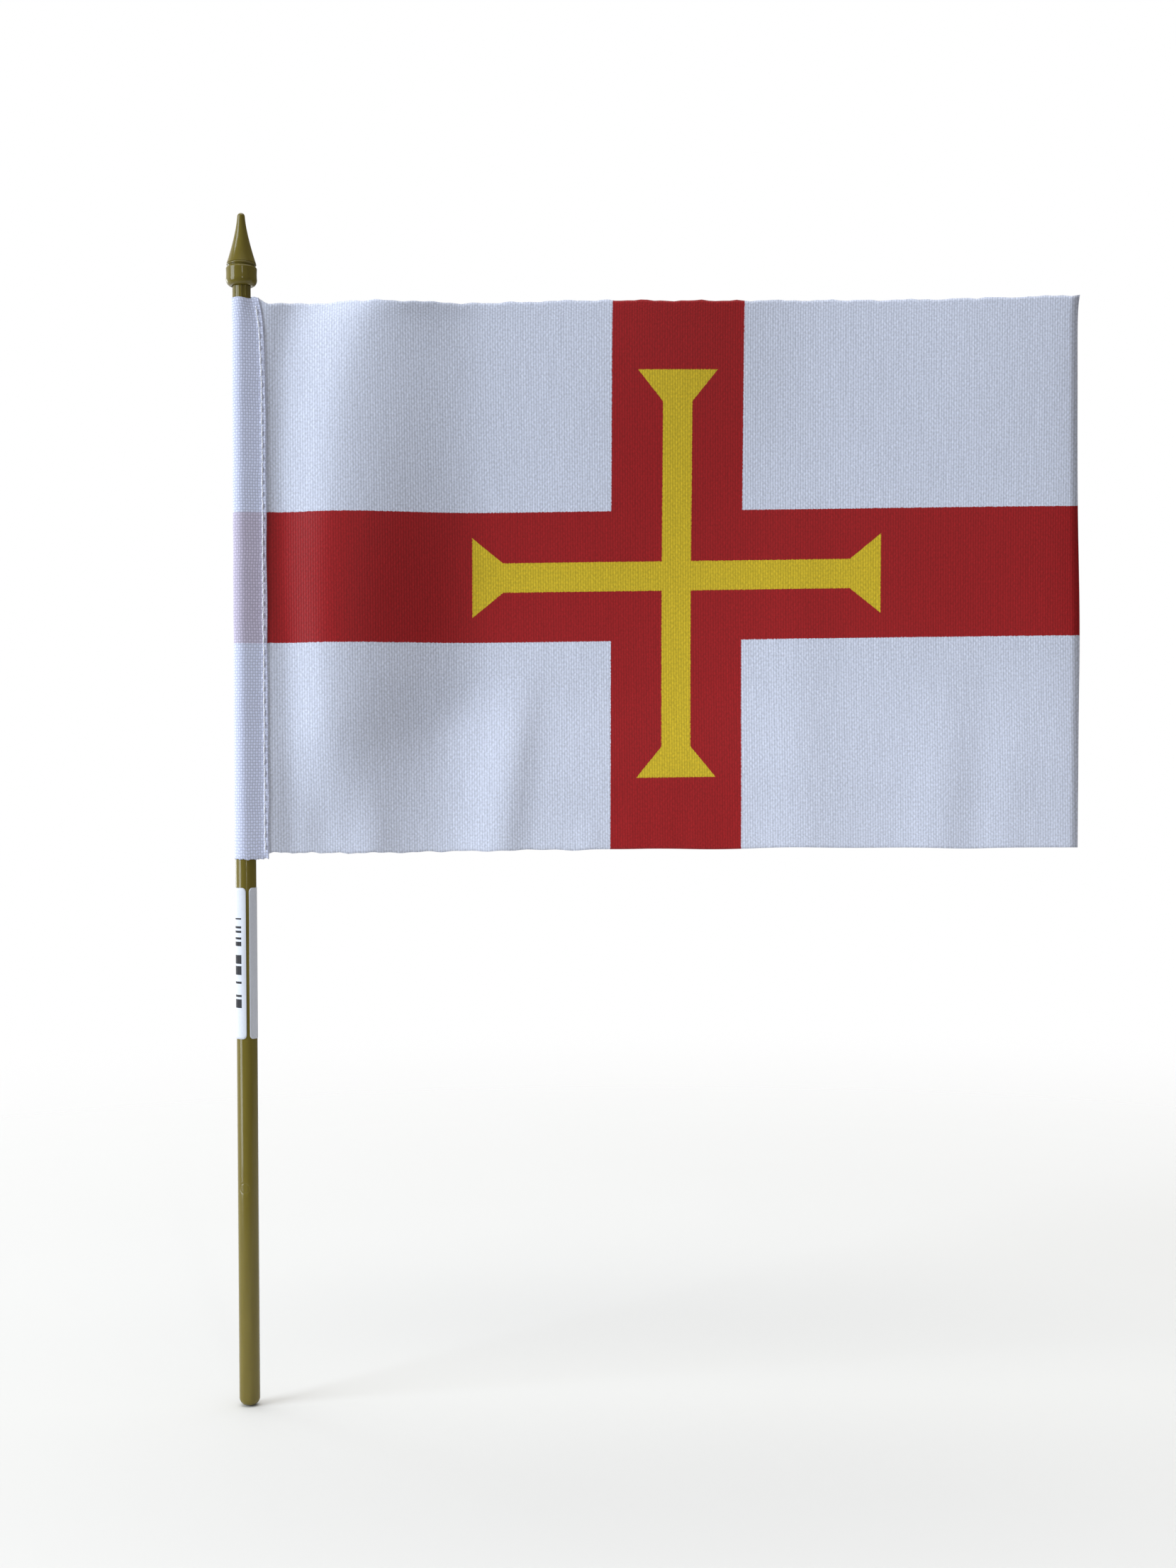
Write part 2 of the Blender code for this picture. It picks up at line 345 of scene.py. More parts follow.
def stick_profile(mould):
    """(radius, height) from the end's flat up to the neck's top: an arc, a straight with close rows over
    the ejector's mark, a slow taper inside the cloth, and the neck."""
    radius = STICK_HIGH.x
    rounding = mould.end_rounding
    arc = np.linspace(-math.pi / 2, 0, 12)
    end = np.stack([radius - rounding + rounding * np.cos(arc), rounding + rounding * np.sin(arc)], axis=-1)
    mark_low = mould.ejector_height - 2.1 * MM
    mark_high = mould.ejector_height + 2.1 * MM
    neck_low = FINIAL_LOW.z - mould.neck_length
    chamfer = 0.3 * MM
    grip = np.linspace(rounding, mark_low - 0.1 * MM, 24)[1:]
    mark = np.linspace(mark_low, mark_high, 44)
    upper = np.linspace(mark_high + 0.3 * MM, BOTTOM, 36)
    taper = np.linspace(BOTTOM, neck_low, 40)[1:]
    ribbed = np.linspace(neck_low + 0.5 * MM, STICK_HIGH.z - chamfer, 20)
    heights = np.concatenate([grip, mark, upper, taper, [neck_low + 0.2 * MM], ribbed, [STICK_HIGH.z]])
    top_radius = NECK_RADIUS + mould.rib_height
    shares = np.clip((heights - BOTTOM) / (neck_low - BOTTOM), 0, 1)
    radii = radius + (top_radius - radius) * shares
    radii[heights > neck_low] = NECK_RADIUS
    radii[-1] = NECK_RADIUS - chamfer
    return np.vstack([end, np.stack([radii, heights], axis=-1)])


def parting_lines(angle, radius, half_width, mould):
    """How far the mould's two parting lines stand out, a quarter turn to either side of the mould's front.
    Each is a bell of the distance to it along the skin."""
    lines = 0.0
    for side in (-math.pi / 2, math.pi / 2):
        away = turn_from(FRONT + mould.mould_turn + side, angle) * radius
        lines = lines + np.exp(-((away / half_width) ** 2))
    return mould.parting_height * lines


def stick_points(mould):
    """The stick's skin. Its radius is the profile's, plus ribs on the neck and two parting lines, less the
    ring and the shallow disc of the ejector pin's mark."""
    profile = stick_profile(mould)
    angle = np.linspace(0, 2 * math.pi, 176, endpoint=False)[None, :]
    radius = profile[:, :1] + 0 * angle
    height = profile[:, 1:] + 0 * angle
    on_neck = height > FINIAL_LOW.z - mould.neck_length + 0.1 * MM
    below_top = height < STICK_HIGH.z - 0.1 * MM
    ribs = smooth_step(0.5 + 1.6 * np.cos(mould.rib_count * angle))
    radius = radius + mould.rib_height * ribs * (on_neck & below_top)
    off_end = height > 0.5 * MM
    radius = radius + parting_lines(angle, STICK_HIGH.x, 0.09 * MM, mould) * (off_end & below_top)
    across = turn_from(FRONT + mould.mould_turn, angle) * STICK_HIGH.x
    reach = np.hypot(across, height - mould.ejector_height)
    ring = np.exp(-(((reach - mould.ejector_radius) / (0.13 * MM)) ** 2))
    disc = smooth_step((mould.ejector_radius - reach) / (0.2 * MM))
    radius = radius - 0.05 * MM * ring - 0.012 * MM * disc
    return np.stack([radius * np.cos(angle), radius * np.sin(angle), height], axis=-1)


def arc_of(centre_radius, centre_depth, across, down, turn):
    """(radius, depth) on an elliptic arc: its centre, plus across times cos(turn), down times sin(turn)."""
    return np.stack([centre_radius + across * np.cos(turn), centre_depth + down * np.sin(turn)], axis=-1)


def finial_profile(mould):
    """(radius, depth below the tip): a rounded tip, a cone that flares slightly, a lip, a groove, a collar
    with a rounded shoulder, a slightly waisted wall and a rounded underside, and the socket that takes the
    neck."""
    tip = 1.05 * MM
    base = 3.95 * MM
    cone_low = 13.75 * MM
    lip_depth = 14.1 * MM
    lip_round = 0.3 * MM
    collar = 4.2 * MM
    shoulder_low = 15.35 * MM
    shoulder_round = 0.55 * MM
    wall_low = 18.25 * MM
    under_across = 1.35 * MM
    under_down = 1.75 * MM
    nose = arc_of(0.0, tip, tip, -tip, np.linspace(math.pi / 2, math.radians(12), 12))
    share = np.linspace(0, 1, 40)[1:]
    cone = np.stack([tip + (base - tip) * share**1.4, 0.9 * tip + (cone_low - 0.9 * tip) * share], axis=-1)
    lip_turn = np.linspace(-math.radians(80), math.radians(90), 9)
    lip = arc_of(base - 0.22 * MM, lip_depth, lip_round, lip_round, lip_turn)
    groove = np.array([[3.72, 14.45], [3.66, 14.6], [3.72, 14.75]]) * MM
    shoulder_turn = np.linspace(math.pi / 2, 0, 8)
    shoulder = arc_of(collar - shoulder_round, shoulder_low, shoulder_round, -shoulder_round, shoulder_turn)
    down = np.linspace(0, 1, 7)[1:]
    waist = 0.06 * MM * np.sin(down * math.pi)
    wall = np.stack([collar - waist, shoulder_low + (wall_low - shoulder_low) * down], axis=-1)
    under_turn = np.linspace(0, math.pi / 2, 14)
    under = arc_of(collar - under_across, wall_low, under_across, under_down, under_turn)
    grip = NECK_RADIUS + mould.rib_height + 0.03 * MM
    mouth = FINIAL_HIGH.z - FINIAL_LOW.z - 0.7 * MM
    roof = FINIAL_HIGH.z - STICK_HIGH.z - 0.3 * MM
    socket = np.array([[grip, mouth], [grip, roof], [0.4 * grip, roof]])
    return np.vstack([nose, cone, lip, groove, shoulder, wall, under, socket])


def finial_points(mould):
    """The finial's skin, the profile turned about the stick's axis, from its socket's roof round to its
    tip. The collar and the cone carry the mould's two parting lines."""
    profile = finial_profile(mould)[::-1]
    angle = np.linspace(0, 2 * math.pi, 128, endpoint=False)[None, :]
    radius = profile[:, :1] + 0 * angle
    ply_groove_shade = profile[:, 1:] + 0 * angle
    outside = (np.arange(len(profile)) > 3)[:, None] & (radius > 0.3 * MM)
    radius = radius + parting_lines(angle, radius, 0.1 * MM, mould) * outside
    return np.stack([radius * np.cos(angle), radius * np.sin(angle), FINIAL_HIGH.z - ply_groove_shade], axis=-1)


class STICKFLAG_OT_stick(Operator):
    """Build the moulded stick, with its ribbed neck, parting lines and ejector mark"""

    bl_idname = "stick_flag.stick"
    bl_label = "Moulded Stick"

    def execute(self, context):
        mould = context.scene.stick_flag_mould
        plastic = moulded_polypropylene("moulded_polypropylene", mould)
        mesh = surface("moulded_stick", stick_points(mould), wrap=True, caps=(0, -1))
        mesh.set_sharp_from_angle(angle=math.radians(40))
        piece = add_piece("moulded_stick", mesh, [plastic])
        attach(piece, "stick")
        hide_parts("stick")
        return {"FINISHED"}


class STICKFLAG_OT_finial(Operator):
    """Build the spear finial: cone, groove and collar"""

    bl_idname = "stick_flag.finial"
    bl_label = "Spear Finial"

    def execute(self, context):
        mould = context.scene.stick_flag_mould
        plastic = moulded_polypropylene("moulded_polypropylene_finial", mould)
        mesh = surface("spear_cap", finial_points(mould), wrap=True, caps=(0, -1))
        mesh.set_sharp_from_angle(angle=math.radians(40))
        piece = add_piece("spear_cap", mesh, [plastic])
        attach(piece, "stick")
        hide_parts("spear_finial")
        return {"FINISHED"}


# ---------------------------------------------------------------- cloth


def seam_line(height):
    """Where the seam runs, from the stick's axis: straight, and veering in to the stick near the top."""
    return SEAM_X + 0.25 * MM - 2.2 * MM * np.exp(-(TOP - height) / (7.5 * MM))


def hem_line(height):
    """Where the hem's cut edge runs: straight but for a slight wander, and drawn in with the seam on top."""
    down = (TOP - height) / MM
    return SLEEVE_HIGH.x - 1.7 * MM * np.exp(-down / 7.0) + 0.07 * MM * np.sin(down / 4.1)


def relief(across, height, cloth):
    """How far the free cloth stands towards the front, in metres. Three smooth steps run across it: down
    into a groove beside the hem, up to one long crest, and down to the lie of the open cloth, which sits
    furthest back two thirds of the way down and evens out towards the fly. The standing folds are added,
    each a bell with its own rise and fall, then two slow ripples, and a curl at the fly edge. All its
    numbers are in mm."""
    x = across / MM
    down = (TOP - height) / MM
    foot = smooth_step((down - 112.0) / 36.0)
    groove_x = 9.6 + 5.5 * np.exp(-down / 14.0) + 2.2 * smooth_step((down - 70.0) / 40.0) + 2.0 * foot
    crest_x = 22.5 + 16.5 * np.exp(-down / 30.0)
    open_x = 66.0 - 9.0 * smooth_step((down - 100.0) / 22.0)
    groove = -1.2 - 0.75 * np.exp(-down / 12.0) - 1.1 * foot
    crest = 0.8 + 3.5 * np.exp(-down / 30.0) - 4.2 * foot
    lie = cloth.set_back / MM * (
        smooth_step((down + 8.0) / 104.0) - 0.22 * smooth_step((down - 105.0) / 30.0)
    )
    fly_lie = 8.0
    lie = lie + 0.5 * smooth_step((x - 100.0) / 60.0) * (fly_lie - lie)
    total = groove * smooth_step((x - 5.6) / (groove_x - 5.6))
    total = total + (crest - groove) * smooth_step((x - groove_x) / (crest_x - groove_x))
    total = total - (crest + lie) * smooth_step((x - crest_x) / (open_x - crest_x))
    for at_top, lean, tall, rise, fall, start, whole in FOLDS:
        away = x - (at_top + lean * down)
        width = np.where(away < 0, rise, fall)
        total = total + tall * np.exp(-((away / width) ** 2)) * smooth_step(
            (down - start) / (whole - start)
        )
    total = total + 0.22 * np.sin(x / 15.0 + down / 48.0) * smooth_step((x - 60.0) / 30.0)
    total = total + 0.06 * np.sin(x / 6.3 - down / 31.0 + 1.0) * smooth_step((x - 50.0) / 30.0)
    total = total - 0.55 * smooth_step((x - 222.0) / 8.0) ** 2
    return total * MM


def cloth_rows(cloth):
    """The cloth's middle surface as x, y and z over [row, column], how far across the flat cut each point
    lies, and the first column of the free cloth. A row runs from the hem's cut edge over the front, round
    the stick and back behind it, then out to the fly edge: a straight, a tangent, an arc, a tangent, and
    the free cloth with its relief. The wrapped part is measured along the cloth. The free part is measured
    straight across, as it hangs, so that the print keeps its shape from the front over the shallow
    folds."""
    level = np.linspace(0.0, 1.0, 201)[:, None]
    height = BOTTOM + (TOP - BOTTOM) * level
    meet = seam_line(height) - 0.6 * MM
    hem = hem_line(height)
    half = cloth.thickness * 0.56
    front_y = -cloth.seam_forward - half
    back_y = -cloth.seam_forward + half
    taper = np.clip((height - BOTTOM) / (STICK_HIGH.z - BOTTOM), 0, 1)
    round_stick = WRAP_RADIUS - WRAP_TAPER * taper + cloth.thickness * 0.6
    round_stick = round_stick + 0.05 * MM * np.sin(height / (7.0 * MM)) * np.sin(height / (2.7 * MM))
    leave = np.arctan2(front_y, meet) - np.arccos(round_stick / np.hypot(meet, front_y))
    arrive = np.arctan2(back_y, meet) + np.arccos(round_stick / np.hypot(meet, back_y)) - 2 * math.pi
    flap = np.linspace(0, 1, 9)[None, :-1]
    flap_x = hem + (meet - hem) * flap
    flap_y = front_y + 0 * flap_x
    side = np.linspace(0, 1, 10)[None, :-1]
    turn = np.linspace(0, 1, 41)[None, :]
    around = leave + (arrive - leave) * turn
    arc_x = round_stick * np.cos(around)
    arc_y = round_stick * np.sin(around)
    out_x = meet + (arc_x[:, :1] - meet) * side
    out_y = front_y + (arc_y[:, :1] - front_y) * side
    home_x = arc_x[:, -1:] + (meet - arc_x[:, -1:]) * side[:, 1:]
    home_y = arc_y[:, -1:] + (back_y - arc_y[:, -1:]) * side[:, 1:]
    free = np.linspace(0, 1, 136)[None, :]
    spread = free * (0.55 + 0.45 * free)
    fly = 0.5 * np.sin(level * 3.1) + 0.8 * np.exp((height - TOP) / (3.5 * MM)) - 0.7
    fly = fly + 0.9 * np.exp(-(((level - 0.4) / 0.2) ** 2))
    fly = PANEL_HIGH.x + fly * MM
    panel_x = meet + (fly - meet) * spread
    panel_y = back_y - relief(panel_x, height, cloth)
    x = np.hstack([flap_x, out_x, arc_x, home_x, panel_x])
    y = np.hstack([flap_y, out_y, arc_y, home_y, panel_y])
    for _ in range(3):
        x[:, 1:-1] = (x[:, :-2] + 2 * x[:, 1:-1] + x[:, 2:]) / 4
        y[:, 1:-1] = (y[:, :-2] + 2 * y[:, 1:-1] + y[:, 2:]) / 4
    steps = np.hypot(np.diff(x, axis=1), np.diff(y, axis=1))
    first_free = x.shape[1] - panel_x.shape[1]
    steps[:, first_free:] = np.diff(x, axis=1)[:, first_free:]
    along = np.hstack([np.zeros((len(x), 1)), np.cumsum(steps, axis=1)])
    across = along - along[:, first_free : first_free + 1] + meet
    z = height + 0 * x
    return x, y, z, across, first_free


def pucker(x, y, z, first_free, seam):
    """Pulls both layers in at the needle holes: a cosine along the seam, fading within 1.2 mm of it."""
    away = (x - seam_line(z)) / (0.75 * MM)
    pull = 0.1 * MM * np.cos(2 * math.pi * (z - BOTTOM) / seam.pitch) * np.exp(-(away**2))
    front = np.arange(x.shape[1])[None, :] < first_free / 2
    return y + np.where(front, pull, -pull)


def cut_edges(x, z, across, cloth):
    """Moves the top and bottom rows onto the real cut: drawn in beyond the stick, lower at the top over the
    hem's folded flap, higher again towards the fly, and wandering where it was cut hot. The move fades to
    nothing over the nearest 8 mm of cloth."""
    u = across / MM
    beyond = smooth_step((u - 3.0) / 4.0)
    flap = 1 - smooth_step((u + 23.0) / 6.0)
    wander = np.sin(u / 1.9 + 1.1 * np.sin(u / 5.3)) + 0.7 * np.sin(u / 0.83 + 2.0) + 0.9 * np.sin(u / 11.0)
    top_edge = -0.4 - 1.1 * flap - 1.6 * beyond + 0.25 * np.sin(u / 17.0 + 1.6)
    top_edge = top_edge + 0.5 * smooth_step((u - 215.0) / 14.0) + 0.95 * smooth_step((u - 100.0) / 60.0)
    low_edge = -0.5 + 1.6 * beyond - 0.15 * np.sin(u / 30.0)
    fade = 8 * MM
    near_top = smooth_step(1 - (TOP - z) / fade)
    near_low = smooth_step(1 - (z - BOTTOM) / fade)
    wandering = cloth.edge_wander * wander
    lifted = near_top * (top_edge * MM + wandering) + near_low * (low_edge * MM + wandering[:, ::-1] * 0.9)
    return z + lifted


def print_masks(tree, place, cloth):
    """(band, cross) masks of the print from the cut's millimetres. Each is 1 inside, found as the distance
    to the nearest edge: the band is the nearer of two strips, the cross the nearer of two bars whose ends
    flare."""
    bleed = add(tree, "TexNoise", {"Vector": place, "Scale": 2.2, "Detail": 1.0}, noise_dimensions="2D")
    parts = add(tree, "SeparateXYZ", {"Vector": place})
    raw = {"x": parts.outputs["X"], "z": parts.outputs["Y"]}
    centre = {"x": PRINT_CENTRE[0] + CUT_MARGIN / MM, "z": PRINT_CENTRE[1] - BOTTOM / MM}
    axes = {}
    for axis, other in (("x", "z"), ("z", "x")):
        slope = PRINT_SLOPE[axis]
        shift = add(
            tree,
            "Math",
            {0: raw[other], 1: -slope, 2: slope * centre[other]},
            operation="MULTIPLY_ADD",
        ).outputs[0]
        moved = add(tree, "Math", {0: raw[axis], 1: shift}, operation="ADD").outputs[0]
        centred = add(tree, "Math", {0: moved, 1: centre[axis]}, operation="SUBTRACT").outputs[0]
        axes[axis] = add(tree, "Math", {0: centred}, operation="ABSOLUTE").outputs[0]
    strips = [
        add(tree, "Math", {0: width / MM / 2, 1: axes[axis]}, operation="SUBTRACT").outputs[0]
        for axis, width in (("x", cloth.band_upright), ("z", cloth.band_level))
    ]
    band = add(tree, "Math", {0: strips[0], 1: strips[1]}, operation="MAXIMUM").outputs[0]
    flare = cloth.cross_flare / MM
    splay = (cloth.cross_end - cloth.cross_bar) / 2 / cloth.cross_flare
    bars = []
    for along, aside, reach in (("x", "z", cloth.cross_width), ("z", "x", cloth.cross_height)):
        half = reach / MM / 2
        beyond = add(tree, "Math", {0: axes[along], 1: half - flare}, operation="SUBTRACT").outputs[0]
        flared = add(tree, "Math", {0: beyond, 1: 0.0}, operation="MAXIMUM").outputs[0]
        wide = add(
            tree, "Math", {0: flared, 1: splay, 2: cloth.cross_bar / MM / 2}, operation="MULTIPLY_ADD"
        ).outputs[0]
        inside = add(tree, "Math", {0: wide, 1: axes[aside]}, operation="SUBTRACT").outputs[0]
        end = add(tree, "Math", {0: half, 1: axes[along]}, operation="SUBTRACT").outputs[0]
        bars.append(add(tree, "Math", {0: inside, 1: end}, operation="MINIMUM").outputs[0])
    cross = add(tree, "Math", {0: bars[0], 1: bars[1]}, operation="MAXIMUM").outputs[0]
    # The ink's edge wanders by up to 0.35 mm along the yarns, and softens over 0.24 mm.
    masks = []
    for distance in (band, cross):
        frayed = add(
            tree, "Math", {0: bleed.outputs["Fac"], 1: 0.35, 2: distance}, operation="MULTIPLY_ADD"
        ).outputs[0]
        masks.append(
            add(
                tree,
                "MapRange",
                {"Value": frayed, "From Min": 0.06, "From Max": 0.3, "To Min": 0.0, "To Max": 1.0},
                interpolation_type="SMOOTHSTEP",
            ).outputs["Result"]
        )
    return masks


def cloth_place(tree):
    """The point's place in the flat cut, in millimetres."""
    flat = add(tree, "UVMap", uv_map="cut").outputs["UV"]
    return add(
        tree, "VectorMath", {0: flat, 1: (CLOTH_MAP_SPAN / MM,) * 3}, operation="MULTIPLY"
    ).outputs[0]


def plain_weave(tree, place, cloth):
    """(warp, crossings) of a plain weave from the cut's millimetres. warp swings between -1 and 1 from one
    upright yarn to the next. crossings does so from one crossing to the next, as warp and weft take turns
    on top, and is 0 in the holes between them."""
    parts = add(tree, "SeparateXYZ", {"Vector": place})
    waves = []
    for axis, pitch in (("X", cloth.warp_pitch), ("Y", cloth.weft_pitch)):
        turn = add(
            tree, "Math", {0: parts.outputs[axis], 1: math.pi / (pitch / MM)}, operation="MULTIPLY"
        ).outputs[0]
        waves.append(add(tree, "Math", {0: turn}, operation="SINE").outputs[0])
    crossings = add(tree, "Math", {0: waves[0], 1: waves[1]}, operation="MULTIPLY").outputs[0]
    return waves[0], crossings


def printed_polyester_face(cloth):
    """Woven polyester, its face calendered smooth and screen printed: fine upright warp ribs, silky streaks
    where single yarns differ, and ink that bleeds a little along the yarns at each printed edge."""
    material, tree, shader = new_material("printed_polyester_face")
    place = cloth_place(tree)
    band, cross = print_masks(tree, place, cloth)
    warp, crossings = plain_weave(tree, place, cloth)
    ribs = add(tree, "Math", {0: warp, 1: warp}, operation="MULTIPLY").outputs[0]
    weave = add(tree, "Math", {0: crossings, 1: 0.3, 2: ribs}, operation="MULTIPLY_ADD").outputs[0]
    long = add(tree, "Mapping", {"Vector": place, "Scale": (1.1, 0.08, 1.0)}).outputs["Vector"]
    streaks = add(
        tree, "TexNoise", {"Vector": long, "Scale": 1.0, "Detail": 2.0}, noise_dimensions="2D"
    ).outputs["Fac"]
    grain = add(
        tree, "TexNoise", {"Vector": place, "Scale": 1.5, "Detail": 1.0}, noise_dimensions="2D"
    ).outputs["Fac"]
    printed = add(
        tree, "Mix", {"Factor": band, 6: rgba(cloth.field), 7: rgba(cloth.band)}, data_type="RGBA"
    ).outputs[2]
    printed = add(
        tree, "Mix", {"Factor": cross, 6: printed, 7: rgba(cloth.cross)}, data_type="RGBA"
    ).outputs[2]
    # Painted shade and sheen: the colour darkens in the grooves between the warp ribs, and the crossings
    # turn lighter or darker as warp and weft take turns on top. The bump adds the ribs' real relief. The
    # streaks and grain that follow are the cloth's own tone.
    shade = add(
        tree,
        "MapRange",
        {"Value": weave, "From Min": -0.1, "From Max": 1.2, "To Min": 0.79, "To Max": 1.06},
    ).outputs["Result"]
    for value, spread in ((streaks, 0.03), (grain, 0.1)):
        varied = add(
            tree,
            "MapRange",
            {"Value": value, "From Min": 0.3, "From Max": 0.7, "To Min": 1 - spread, "To Max": 1 + spread},
        ).outputs["Result"]
        shade = add(tree, "Math", {0: shade, 1: varied}, operation="MULTIPLY").outputs[0]
    tint = add(tree, "VectorMath", {0: printed, 1: shade}, operation="MULTIPLY").outputs[0]
    bump = add(tree, "Bump", {"Height": weave, "Strength": 0.7, "Distance": 0.03 * MM}).outputs["Normal"]
    join(tree, {"Base Color": tint, "Normal": bump, "Roughness": 0.5, "Specular IOR Level": 0.3}, shader)
    return material


def printed_polyester_back(cloth):
    """The same cloth's other face, neither calendered nor printed: a plain weave that shows as rows of
    dots, with a faint ghost of the print struck through."""
    material, tree, shader = new_material("printed_polyester_back")
    place = cloth_place(tree)
    band, cross = print_masks(tree, place, cloth)
    _, crossings = plain_weave(tree, place, cloth)
    yarns = add(tree, "Math", {0: crossings}, operation="ABSOLUTE").outputs[0]
    ghost = add(
        tree, "Mix", {"Factor": band, 6: rgba(cloth.reverse), 7: rgba(srgb("#D0C8DF"))}, data_type="RGBA"
    ).outputs[2]
    ghost = add(
        tree, "Mix", {"Factor": cross, 6: ghost, 7: rgba(srgb("#DFDFDA"))}, data_type="RGBA"
    ).outputs[2]
    # Painted shade and sheen: the holes between the yarns are darkest, and the crossings turn lighter or
    # darker as warp and weft take turns on top. The bump adds the yarns' real relief.
    dots = add(tree, "Math", {0: crossings, 1: 0.35, 2: yarns}, operation="MULTIPLY_ADD").outputs[0]
    shade = add(
        tree,
        "MapRange",
        {"Value": dots, "From Min": -0.05, "From Max": 0.75, "To Min": 0.58, "To Max": 1.0},
    ).outputs["Result"]
    tint = add(tree, "VectorMath", {0: ghost, 1: shade}, operation="MULTIPLY").outputs[0]
    bump = add(tree, "Bump", {"Height": yarns, "Strength": 0.7, "Distance": 0.05 * MM}).outputs["Normal"]
    join(tree, {"Base Color": tint, "Normal": bump, "Roughness": 0.65, "Specular IOR Level": 0.25}, shader)
    return material


def fused_polyester_edge(cloth):
    """Polyester melted along a hot cut: a hard, slightly glossy, greyer bead."""
    material, tree, shader = new_material("fused_polyester_edge")
    place = cloth_place(tree)
    band, _ = print_masks(tree, place, cloth)
    beads = add(
        tree, "TexNoise", {"Vector": place, "Scale": 1.5, "Detail": 2.0}, noise_dimensions="2D"
    ).outputs["Fac"]
    tint = add(
        tree, "Mix", {"Factor": band, 6: rgba(srgb("#C9CBD3")), 7: rgba(srgb("#8E3038"))}, data_type="RGBA"
    ).outputs[2]
    bump = add(tree, "Bump", {"Height": beads, "Strength": 0.5, "Distance": 0.05 * MM}).outputs["Normal"]
    join(tree, {"Base Color": tint, "Normal": bump, "Roughness": 0.4}, shader)
    return material


class STICKFLAG_OT_cloth(Operator):
    """Build the printed cloth, wrapped round the stick, sewn and flying free"""

    bl_idname = "stick_flag.cloth"
    bl_label = "Printed Cloth"

    def execute(self, context):
        cloth = context.scene.stick_flag_cloth
        seam = context.scene.stick_flag_seam
        x, y, z, across, first_free = cloth_rows(cloth)
        y = pucker(x, y, z, first_free, seam)
        flat_z = z - BOTTOM
        z = cut_edges(x, z, across, cloth)
        mesh = surface("flag_cloth", np.stack([x, y, z], axis=-1))
        write_uv(mesh, (across + CUT_MARGIN) / CLOTH_MAP_SPAN, flat_z / CLOTH_MAP_SPAN)
        faces = (printed_polyester_face, printed_polyester_back, fused_polyester_edge)
        materials = [face(cloth) for face in faces]
        piece = add_piece("flag_cloth", mesh, materials)
        solid = piece.modifiers.new("cloth_thickness", "SOLIDIFY")
        solid.thickness = cloth.thickness
        solid.offset = 0.0
        solid.material_offset = 1
        solid.material_offset_rim = 2
        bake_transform(piece)
        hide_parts("flag_sleeve", "flag_panel")
        return {"FINISHED"}


# ---------------------------------------------------------------- seam


def spun_polyester_thread(seam):
    """Spun polyester sewing thread, two plies twisted together: matt, with slanting ply lines. They are a
    diagonal wave, whose scale of 0.628 makes it repeat once in each turn round the thread."""
    material, tree, shader = new_material("spun_polyester_thread")
    flat = add(tree, "UVMap", uv_map="cut").outputs["UV"]
    plies = add(
        tree,
        "TexWave",
        {"Vector": flat, "Scale": 0.628, "Distortion": 0.3},
        wave_type="BANDS",
        bands_direction="DIAGONAL",
    ).outputs["Fac"]
    # Painted shade: the colour darkens by up to a fifth along each slanting ply line, as the grooves between
    # the plies would. The bump gives their relief.
    ply_groove_shade = add(tree, "MapRange", {"Value": plies, "To Min": 0.8, "To Max": 1.0}).outputs["Result"]
    tint = add(tree, "VectorMath", {0: tuple(seam.thread), 1: ply_groove_shade}, operation="MULTIPLY").outputs[0]
    bump = add(tree, "Bump", {"Height": plies, "Strength": 0.6, "Distance": 0.05 * MM}).outputs["Normal"]
    join(tree, {"Base Color": tint, "Normal": bump, "Roughness": 0.65, "Sheen Weight": 0.2}, shader)
    return material


def thread_points(side, seam, cloth):
    """One thread's skin, a circle carried along the seam. The path rises off the cloth between the needle
    holes and dives through it at each hole. side is -1 on the front, 1 on the back."""
    margin = 1.2 * MM
    points_a_stitch = 10
    stitches = int((TOP - BOTTOM - 2 * margin) / seam.pitch)
    z = BOTTOM + margin + np.arange(stitches * points_a_stitch + 1) * seam.pitch / points_a_stitch
    phase = (z - BOTTOM - margin) / seam.pitch
    arch = 4 * (np.abs(np.sin(math.pi * phase)) - 0.8)
    off_cloth = cloth.thickness * 1.06 + seam.thread_radius * np.maximum(arch, -1.6)
    sway = 0.07 * MM * np.sin(math.pi * np.floor(phase) + phase * 2.0)
    path = np.stack([seam_line(z) + sway, side * off_cloth - cloth.seam_forward, z], axis=-1)
    step = np.gradient(path, axis=0)
    step /= np.linalg.norm(step, axis=1, keepdims=True)
    across = np.cross(step, np.array([0.0, 1.0, 0.0]))
    across /= np.linalg.norm(across, axis=1, keepdims=True)
    up = np.cross(across, step)
    turn = np.linspace(0, 2 * math.pi, 8, endpoint=False)[None, :, None]
    radius = seam.thread_radius
    skin = path[:, None] + radius * (np.cos(turn) * across[:, None] + np.sin(turn) * up[:, None])
    return skin, phase


class STICKFLAG_OT_seam(Operator):
    """Build the needle thread and the bobbin thread of the hem's lockstitch seam"""

    bl_idname = "stick_flag.seam"
    bl_label = "Lockstitch Seam"

    def execute(self, context):
        seam = context.scene.stick_flag_seam
        cloth = context.scene.stick_flag_cloth
        material = spun_polyester_thread(seam)
        threads = (("needle_stitches", "needle_thread", -1), ("bobbin_stitches", "bobbin_thread", 1))
        for name, node, side in threads:
            skin, phase = thread_points(side, seam, cloth)
            mesh = surface(name, skin, wrap=True, caps=(0, -1))
            turns = np.linspace(0, 1, skin.shape[1], endpoint=False)[None, :] + 0 * phase[:, None]
            twists = 6
            write_uv(mesh, turns, phase[:, None] * twists + 0 * turns)
            piece = add_piece(name, mesh, [material])
            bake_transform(piece)
            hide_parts(node)
        return {"FINISHED"}


# ---------------------------------------------------------------- label


